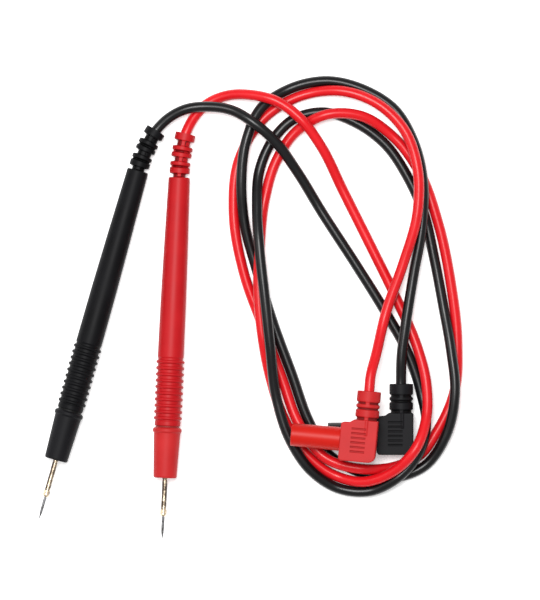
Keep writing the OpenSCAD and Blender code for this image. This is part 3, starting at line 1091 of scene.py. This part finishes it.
# ---- Plug elbows -------------------------------------------------------------------
# The right-angled bodies of the plugs, moulded round the cord in the matt compound.
# Both faces have a patch of fine grip grooves, and the boot is slotted like the reliefs.
plug_centre = {"black": (108.9, -39.1, 4.6), "red": (94.7, -41.7, 14.8)}
plug_turn = {"black": 0.0, "red": -5.3}
plug_dip = {"black": 0.0, "red": 4.0}
half_thickness = 4.6
rim_round = 1.1
boot_ring = 4.55
boot_neck = 3.9
boot_bridge = 4.4
boot_start, boot_end = 5.0, 19.2
boot_rings = [(boot_start, 8.0), (9.2, 12.0), (12.8, 14.1), (15.0, boot_end)]
boot_upright = [(8.0, 9.2), (14.1, 15.0)]
boot_sideways = [(12.0, 12.8)]
voxel = 0.14


def plug_place(lead):
    """Where a plug lies: the shroud runs along local -X and the boot along local +Y."""
    turn = Matrix.Rotation(math.radians(plug_turn[lead]), 4, "Z")
    dip = Matrix.Rotation(math.radians(-plug_dip[lead]), 4, "Y")
    return Matrix.Translation(Vector(plug_centre[lead]) * MM) @ turn @ dip


def block_mesh():
    """The elbow's block: an outline with rounded corners, thickened, its rims eased."""
    outline = rounded(
        [
            (-9.4, -8.0, 1.1),
            (4.6, -8.0, 2.6),
            (4.6, 8.0, 0.3),
            (-4.6, 8.0, 0.4),
            (-6.2, 6.9, 0.6),
            (-9.4, 6.7, 1.0),
        ]
    )
    mesh = bmesh.new()
    low = [mesh.verts.new((p.x, p.y, -half_thickness)) for p in outline]
    high = [mesh.verts.new((p.x, p.y, half_thickness)) for p in outline]
    mesh.faces.new(low[::-1])
    mesh.faces.new(high)
    for k in range(len(outline)):
        n = (k + 1) % len(outline)
        mesh.faces.new((low[k], low[n], high[n], high[k]))
    bmesh.ops.remove_doubles(mesh, verts=mesh.verts, dist=1e-4)
    rims = [e for e in mesh.edges if abs(e.verts[0].co.z - e.verts[1].co.z) < 1e-3]
    bmesh.ops.bevel(
        mesh,
        geom=rims,
        offset=rim_round,
        offset_type="OFFSET",
        segments=5,
        profile=0.5,
        affect="EDGES",
        clamp_overlap=True,
    )
    bmesh.ops.recalc_face_normals(mesh, faces=mesh.faces)
    return mesh


def boot_carry(station, angle, radius):
    return Vector((radius * math.cos(angle), station, radius * math.sin(angle)))


boot_stations = np.arange(boot_start, boot_end + 0.05, 0.1)
boot_radius = slotted(
    boot_stations,
    relief_angles,
    boot_neck,
    boot_rings,
    boot_upright,
    boot_sideways,
    boot_ring,
    boot_bridge,
)
boot_radius[-1] -= 0.25
boot_radius[-2] -= 0.1
elbow_mesh = bpy.data.meshes.new("elbow")
block = block_mesh()
boot = sleeve_mesh(boot_radius, boot_stations, relief_angles, 0.5, boot_carry)
boot_piece = bpy.data.meshes.new("boot")
along_boot = Matrix.Rotation(math.pi / 2, 4, "X")
boot.to_mesh(boot_piece)
boot.free()
block.from_mesh(boot_piece)
bpy.data.meshes.remove(boot_piece)
bmesh.ops.create_cone(
    block,
    cap_ends=True,
    segments=24,
    radius1=0.8,
    radius2=0.8,
    depth=14,
    matrix=Matrix.Translation((0, 12.1, 0)) @ along_boot,
)
bmesh.ops.create_cone(
    block,
    cap_ends=True,
    segments=32,
    radius1=0.8,
    radius2=0.8,
    depth=5.8,
    matrix=Matrix.Translation((0.3, 5.2, half_thickness - 0.5)) @ along_boot,
)
block.to_mesh(elbow_mesh)
block.free()
elbow_master = bpy.data.objects.new("elbow", elbow_mesh)
scene.collection.objects.link(elbow_master)


remesh = elbow_master.modifiers.new("union", "REMESH")
remesh.mode = "VOXEL"
remesh.voxel_size = voxel
soften = elbow_master.modifiers.new("soften", "SMOOTH")
soften.factor = 0.5
soften.iterations = 4
cavity = bmesh.new()
for radius, start, end, axis in (
    (2.15, 13.0, 20.0, "boot"),
    (1.5, -1.7, 13.3, "boot"),
    (3.65, 2.9, 12.0, "shroud"),
    (1.62, -1.8, 3.2, "shroud"),
):
    turn = Matrix.Rotation(-math.pi / 2, 4, "X" if axis == "boot" else "Y")
    bmesh.ops.create_cone(
        cavity,
        cap_ends=True,
        segments=48,
        radius1=radius,
        radius2=radius,
        depth=end - start,
        matrix=turn @ Matrix.Translation((0, 0, (start + end) / 2)),
    )
cavity_mesh = bpy.data.meshes.new("cavity")
cavity.to_mesh(cavity_mesh)
cavity.free()
cavity_tool = bpy.data.objects.new("cavity", cavity_mesh)
scene.collection.objects.link(cavity_tool)


def grooves_tree():
    """Round-bottomed grooves one pitch apart on a block's two faces, as bars to be cut."""
    tree, given, result = shape_tree(
        "grooves",
        [
            ("Count", "Int"),
            ("Pitch", "Float"),
            ("First", "Float"),
            ("Left", "Float"),
            ("Length", "Float"),
            ("Height", "Float"),
            ("Bar Radius", "Float"),
            ("Finish", "Material"),
        ],
    )
    give = given.outputs
    section = placed(
        tree,
        "GeometryNodeCurvePrimitiveCircle",
        Resolution=20,
        Radius=give["Bar Radius"],
    )
    groove_line = placed(
        tree,
        "GeometryNodeCurvePrimitiveLine",
        Start=vector_of(tree),
        End=vector_of(tree, give["Length"]),
    )
    groove = placed(
        tree,
        "GeometryNodeCurveToMesh",
        Curve=groove_line.outputs["Curve"],
        Profile_Curve=section.outputs["Curve"],
        Fill_Caps=True,
    )
    parts = [give["Geometry"]]
    for side in (1.0, -1.0):
        height = math_node(tree, "MULTIPLY", give["Height"], side)
        places = placed(
            tree,
            "GeometryNodeMeshLine",
            Count=give["Count"],
            Start_Location=vector_of(tree, give["Left"], give["First"], height),
            Offset=vector_of(tree, y=give["Pitch"]),
        )
        repeated = placed(
            tree,
            "GeometryNodeInstanceOnPoints",
            Points=places.outputs["Mesh"],
            Instance=groove.outputs["Mesh"],
        )
        parts.append(repeated.outputs["Instances"])
    finished_shape(tree, result, parts, give["Finish"])
    return tree


grow(
    cavity_tool,
    grooves_tree(),
    Count=6,
    Pitch=1.75,
    First=-4.2,
    Left=-5.2,
    Length=5.6,
    Height=half_thickness + 0.12,
    Bar_Radius=0.42,
    Finish=rubber_finish["black"],
)
cut = elbow_master.modifiers.new("bores", "BOOLEAN")
cut.operation = "DIFFERENCE"
cut.object = cavity_tool
cut.solver = "EXACT"
cut.use_self = True
elbow_shape = bpy.data.meshes.new_from_object(
    elbow_master.evaluated_get(bpy.context.evaluated_depsgraph_get())
)
bpy.data.objects.remove(elbow_master)
bpy.data.objects.remove(cavity_tool)

# Painted shade: the boot's slots and the grip grooves get an attribute that darkens their colour,
# standing in for the shade inside them; the grooves get the fixed groove_shade.
groove_shade = 0.45
slot_rim, slot_fade = 4.3, 0.3
recess_shade = elbow_shape.attributes.new("recess_shade", "FLOAT", "POINT")
for vertex, mark in zip(elbow_shape.vertices, recess_shade.data):
    x, y, z = vertex.co
    sunk = half_thickness - abs(z)
    if boot_rings[0][1] - 0.3 < y < boot_end:
        mark.value = min(max((slot_rim - math.hypot(x, z)) / slot_fade, 0), 1)
    elif 0.1 < sunk < 0.5 and -5.3 < x < 0.5 and -4.9 < y < 5.3:
        mark.value = groove_shade

plug_at = {lead: plug_place(lead) for lead in cord_routes}
for lead in cord_routes:
    elbow = elbow_shape.copy()
    elbow.transform(plug_at[lead] @ Matrix.Scale(MM, 4))
    elbow.shade_smooth()
    elbow.materials.clear()
    elbow.materials.append(rubber_finish[lead])
    elbow = bpy.data.objects.new(f"{lead}_plug_body", elbow)
    scene.collection.objects.link(elbow)
    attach(elbow, "leads")
    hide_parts(f"{lead}_elbow")


# ---- Shrouds -----------------------------------------------------------------------
# The hard, glossy barrels that cover the contact pins. Each is moulded first, and the
# elbow is moulded over its root.
shroud_outline = rounded(
    [
        (1.62, 3.0, 0),
        (3.6, 3.0, 0.1),
        (3.6, 9.4, 0),
        (4.55, 9.42, 0.1),
        (4.35, 28.2, 0.3),
        (3.3, 28.2, 0.25),
        (3.3, 9.0, 0.1),
        (1.62, 9.0, 0),
    ]
)
shroud_finish = {
    "black": plastic(
        "black_shroud",
        colour=(0.005, 0.005, 0.005),
        pale=(0.007, 0.007, 0.007),
        roughness=0.34,
        smudges=0.05,
        grain=500.0,
        depth=0.000004,
        specular=0.25,
    ),
    "red": plastic(
        "red_shroud",
        colour=(0.44, 0.008, 0.004),
        pale=(0.5, 0.011, 0.006),
        roughness=0.38,
        smudges=0.05,
        grain=500.0,
        depth=0.000004,
        specular=0.16,
    ),
}
along_shroud = Matrix.Rotation(-math.pi / 2, 4, "Y")
for lead in cord_routes:
    shroud = turned(f"{lead}_barrel", shroud_outline, plug_at[lead] @ along_shroud)
    shroud.data.materials.append(shroud_finish[lead])
    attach(shroud, "leads")
    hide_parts(f"{lead}_shroud")


# ---- Contact pins and spring cages -------------------------------------------------
# Gold plated 4 mm banana pins inside the shrouds, each with a slit cage that springs
# against the socket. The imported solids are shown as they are.
for lead in cord_routes:
    for part in ("contact_pin", "spring_cage"):
        pin = nodes[f"{lead}_{part}"].data
        pin.materials.clear()
        pin.materials.append(gold_plate)


# ---- Conductors --------------------------------------------------------------------
# Bare copper strands in white insulation run from the cord to the rod's solder cup and
# to the pin's stem. They are inside the handle and the elbow, and are shown as packed.
insulation = plastic(
    "insulation", (0.75, 0.75, 0.73), (0.82, 0.82, 0.8), 0.4, 0.05, 700.0, 0.00001
)
copper = metal("copper", (0.8, 0.4, 0.22), (0.45, 0.2, 0.1), 0.32)
for lead in cord_routes:
    for end in ("probe", "plug"):
        for part, finish in (("core", insulation), ("strands", copper)):
            wire = nodes[f"{lead}_{end}_{part}"].data
            wire.materials.clear()
            wire.materials.append(finish)
